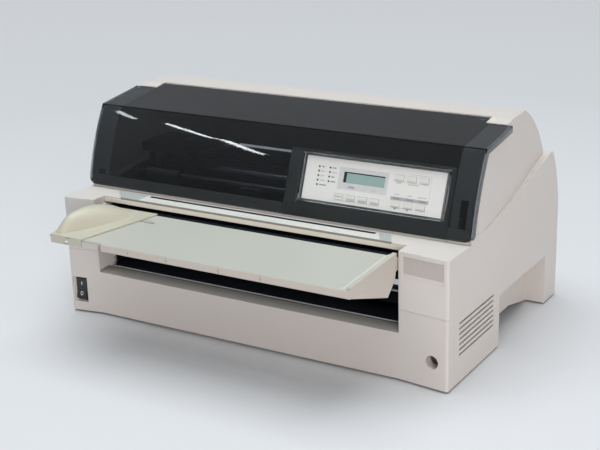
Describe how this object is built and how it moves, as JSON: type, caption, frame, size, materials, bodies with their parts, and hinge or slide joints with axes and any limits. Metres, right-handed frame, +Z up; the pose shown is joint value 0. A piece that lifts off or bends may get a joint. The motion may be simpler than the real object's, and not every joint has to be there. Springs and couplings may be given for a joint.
{
  "type": "dot matrix printer",
  "caption": "Wide flat bed dot matrix printer with a hinged smoked cover, an operator panel, a fold-up paper table, push tractors and a moving print head.",
  "frame": {"origin": "on the floor, under the middle of the printer and its paper table", "axes": "+X to the right as seen from the front, +Y to the rear, +Z up"},
  "size_m": [0.646, 0.524, 0.323],
  "materials": {
    "case": "fine satin texture",
    "deck": "fine satin texture",
    "table": "satin",
    "guide": "satin",
    "smoke": "polished, see-through",
    "white_strip": "satin",
    "tray": "matt",
    "foot": "matt",
    "black": "satin",
    "panel_box": "matt",
    "panel": "satin",
    "display": "clear window",
    "lamp": "clear",
    "key": "satin",
    "board": "satin lacquer",
    "sheet_steel": "zinc plated",
    "platen": "matt",
    "shaft": "ground",
    "roller": "matt",
    "gear": "natural nylon",
    "pinion": "machined",
    "motor": "satin",
    "carriage": "cast",
    "head": "matt",
    "cartridge": "satin",
    "pulley": "turned",
    "belt": "matt",
    "tractor": "satin",
    "fan": "satin",
    "supply": "mill finish",
    "socket": "satin",
    "connector": "plated"
  },
  "bodies": {
    "case": {"lower_case": "case", "upper_case": "case", "front_deck": "deck", "front_panel": "case", "base_tray": "tray", "rubber_feet": "foot", "scale_strip": "white_strip", "switch_body": "black", "panel_housing": "panel_box", "panel_face": "panel", "lcd_window": "display", "status_lamps": "lamp", "panel_board": "board", "left_frame": "sheet_steel", "right_frame": "sheet_steel", "platen": "platen", "paper_plates": "sheet_steel", "carriage_rails": "shaft", "feed_motor": "motor", "carriage_motor": "motor", "drive_belt": "belt", "fan_frame": "fan", "main_board": "board", "power_supply": "supply", "ac_inlet": "socket", "interface_connector": "connector"},
    "cover": {"top_cover": "smoke"},
    "table": {"paper_table": "table"},
    "guide": {"paper_guide": "guide"},
    "rocker": {"power_rocker": "black"},
    "low_button_1": {"low_key_1": "key"},
    "low_button_2": {"low_key_2": "key"},
    "low_button_3": {"low_key_3": "key"},
    "low_button_4": {"low_key_4": "key"},
    "top_button_1": {"top_key_1": "key"},
    "top_button_2": {"top_key_2": "key"},
    "top_button_3": {"top_key_3": "key"},
    "right_button_1": {"right_key_1": "key"},
    "right_button_2": {"right_key_2": "key"},
    "right_button_3": {"right_key_3": "key"},
    "front_roller": {"front_feed_roller": "roller"},
    "rear_roller": {"rear_feed_roller": "roller"},
    "front_pinch": {"front_pinch_rollers": "roller"},
    "rear_pinch": {"rear_pinch_rollers": "roller"},
    "feed_idler": {"feed_idler_gear": "gear"},
    "tractor_idler": {"tractor_idler_gear": "gear"},
    "pinion": {"motor_pinion": "pinion"},
    "sprocket_shaft": {"tractor_shaft": "shaft"},
    "head_carriage": {"carriage": "carriage", "print_head": "head", "ribbon_cartridge": "cartridge"},
    "drive_wheel": {"drive_pulley": "pulley"},
    "idler_wheel": {"idler_pulley": "pulley"},
    "tractor_left": {"left_tractor": "tractor"},
    "tractor_right": {"right_tractor": "tractor"},
    "door_left": {"left_tractor_door": "tractor"},
    "door_right": {"right_tractor_door": "tractor"},
    "wheel_left": {"left_sprocket": "gear"},
    "wheel_right": {"right_sprocket": "gear"},
    "fan": {"fan_rotor": "fan"}
  },
  "joints": [
    {"name": "cover_hinge", "type": "hinge", "parent": "case", "child": "cover", "pos_m": [0, 0.075, 0.318], "axis": [-1, 0, 0], "range_deg": [0, 80]},
    {"name": "table_hinge", "type": "hinge", "parent": "case", "child": "table", "pos_m": [0, -0.122, 0.1658], "axis": [-1, 0, 0], "range_deg": [0, 55]},
    {"name": "guide_slide", "type": "slide", "parent": "table", "child": "guide", "axis": [1, 0, 0], "range_m": [0, 0.025]},
    {"name": "rocker_hinge", "type": "hinge", "parent": "case", "child": "rocker", "pos_m": [-0.302, -0.134, 0.0385], "axis": [1, 0, 0], "range_deg": [0, 12]},
    {"name": "low_button_1_press", "type": "slide", "parent": "case", "child": "low_button_1", "axis": [0, 0.9312, -0.3645], "range_m": [0, 0.0008], "stiffness_N_per_m": 300, "springref_m": -0.0005},
    {"name": "low_button_2_press", "type": "slide", "parent": "case", "child": "low_button_2", "axis": [0, 0.9312, -0.3645], "range_m": [0, 0.0008], "stiffness_N_per_m": 300, "springref_m": -0.0005},
    {"name": "low_button_3_press", "type": "slide", "parent": "case", "child": "low_button_3", "axis": [0, 0.9312, -0.3645], "range_m": [0, 0.0008], "stiffness_N_per_m": 300, "springref_m": -0.0005},
    {"name": "low_button_4_press", "type": "slide", "parent": "case", "child": "low_button_4", "axis": [0, 0.9312, -0.3645], "range_m": [0, 0.0008], "stiffness_N_per_m": 300, "springref_m": -0.0005},
    {"name": "top_button_1_press", "type": "slide", "parent": "case", "child": "top_button_1", "axis": [0, 0.9312, -0.3645], "range_m": [0, 0.0008], "stiffness_N_per_m": 300, "springref_m": -0.0005},
    {"name": "top_button_2_press", "type": "slide", "parent": "case", "child": "top_button_2", "axis": [0, 0.9312, -0.3645], "range_m": [0, 0.0008], "stiffness_N_per_m": 300, "springref_m": -0.0005},
    {"name": "top_button_3_press", "type": "slide", "parent": "case", "child": "top_button_3", "axis": [0, 0.9312, -0.3645], "range_m": [0, 0.0008], "stiffness_N_per_m": 300, "springref_m": -0.0005},
    {"name": "right_button_1_press", "type": "slide", "parent": "case", "child": "right_button_1", "axis": [0, 0.9312, -0.3645], "range_m": [0, 0.0008], "stiffness_N_per_m": 300, "springref_m": -0.0005},
    {"name": "right_button_2_press", "type": "slide", "parent": "case", "child": "right_button_2", "axis": [0, 0.9312, -0.3645], "range_m": [0, 0.0008], "stiffness_N_per_m": 300, "springref_m": -0.0005},
    {"name": "right_button_3_press", "type": "slide", "parent": "case", "child": "right_button_3", "axis": [0, 0.9312, -0.3645], "range_m": [0, 0.0008], "stiffness_N_per_m": 300, "springref_m": -0.0005},
    {"name": "front_roller_spin", "type": "hinge", "parent": "case", "child": "front_roller", "pos_m": [0, -0.032, 0.163], "axis": [1, 0, 0], "continuous": true},
    {"name": "rear_roller_spin", "type": "hinge", "parent": "case", "child": "rear_roller", "pos_m": [0, 0.037, 0.163], "axis": [1, 0, 0], "continuous": true},
    {"name": "front_pinch_spin", "type": "hinge", "parent": "case", "child": "front_pinch", "pos_m": [0, -0.032, 0.1783], "axis": [1, 0, 0], "continuous": true},
    {"name": "rear_pinch_spin", "type": "hinge", "parent": "case", "child": "rear_pinch", "pos_m": [0, 0.037, 0.1783], "axis": [1, 0, 0], "continuous": true},
    {"name": "feed_idler_spin", "type": "hinge", "parent": "case", "child": "feed_idler", "pos_m": [0, 0.0025, 0.163], "axis": [1, 0, 0], "continuous": true},
    {"name": "tractor_idler_spin", "type": "hinge", "parent": "case", "child": "tractor_idler", "pos_m": [0, -0.05874, 0.14121], "axis": [1, 0, 0], "continuous": true},
    {"name": "pinion_spin", "type": "hinge", "parent": "case", "child": "pinion", "pos_m": [0, -0.02277, 0.13763], "axis": [1, 0, 0], "continuous": true},
    {"name": "sprocket_shaft_spin", "type": "hinge", "parent": "case", "child": "sprocket_shaft", "pos_m": [0, -0.082, 0.12225], "axis": [1, 0, 0], "continuous": true},
    {"name": "carriage_slide", "type": "slide", "parent": "case", "child": "head_carriage", "axis": [1, 0, 0], "range_m": [0, 0.41]},
    {"name": "drive_wheel_spin", "type": "hinge", "parent": "case", "child": "drive_wheel", "pos_m": [-0.235, 0.0695, 0.21], "axis": [0, 0, 1], "range_deg": [-5, 2850]},
    {"name": "idler_wheel_spin", "type": "hinge", "parent": "case", "child": "idler_wheel", "pos_m": [0.222, 0.0695, 0.21], "axis": [0, 0, 1], "range_deg": [-5, 2850]},
    {"name": "tractor_left_slide", "type": "slide", "parent": "case", "child": "tractor_left", "axis": [1, 0, 0], "range_m": [0, 0.06]},
    {"name": "tractor_right_slide", "type": "slide", "parent": "case", "child": "tractor_right", "axis": [-1, 0, 0], "range_m": [0, 0.06]},
    {"name": "door_left_hinge", "type": "hinge", "parent": "tractor_left", "child": "door_left", "pos_m": [0, -0.067, 0.13625], "axis": [-1, 0, 0], "range_deg": [0, 85]},
    {"name": "door_right_hinge", "type": "hinge", "parent": "tractor_right", "child": "door_right", "pos_m": [0, -0.067, 0.13625], "axis": [-1, 0, 0], "range_deg": [0, 85]},
    {"name": "wheel_left_spin", "type": "hinge", "parent": "tractor_left", "child": "wheel_left", "pos_m": [0, -0.082, 0.12225], "axis": [1, 0, 0], "continuous": true},
    {"name": "wheel_right_spin", "type": "hinge", "parent": "tractor_right", "child": "wheel_right", "pos_m": [0, -0.082, 0.12225], "axis": [1, 0, 0], "continuous": true},
    {"name": "fan_spin", "type": "hinge", "parent": "case", "child": "fan", "pos_m": [0, -0.047, 0.066], "axis": [1, 0, 0], "continuous": true}
  ],
  "couplings": [
    {"joint": "rear_roller_spin", "follows": "front_roller_spin", "ratio": 1},
    {"joint": "front_pinch_spin", "follows": "front_roller_spin", "ratio": -1.5},
    {"joint": "rear_pinch_spin", "follows": "front_roller_spin", "ratio": -1.5},
    {"joint": "feed_idler_spin", "follows": "front_roller_spin", "ratio": -1.0909},
    {"joint": "tractor_idler_spin", "follows": "front_roller_spin", "ratio": -1.0909},
    {"joint": "pinion_spin", "follows": "front_roller_spin", "ratio": -2},
    {"joint": "sprocket_shaft_spin", "follows": "front_roller_spin", "ratio": 1.3333},
    {"joint": "wheel_left_spin", "follows": "front_roller_spin", "ratio": 1.3333},
    {"joint": "wheel_right_spin", "follows": "front_roller_spin", "ratio": 1.3333},
    {"joint": "drive_wheel_spin", "follows": "carriage_slide", "rad_per_m": 120.48},
    {"joint": "idler_wheel_spin", "follows": "carriage_slide", "rad_per_m": 120.48}
  ]
}
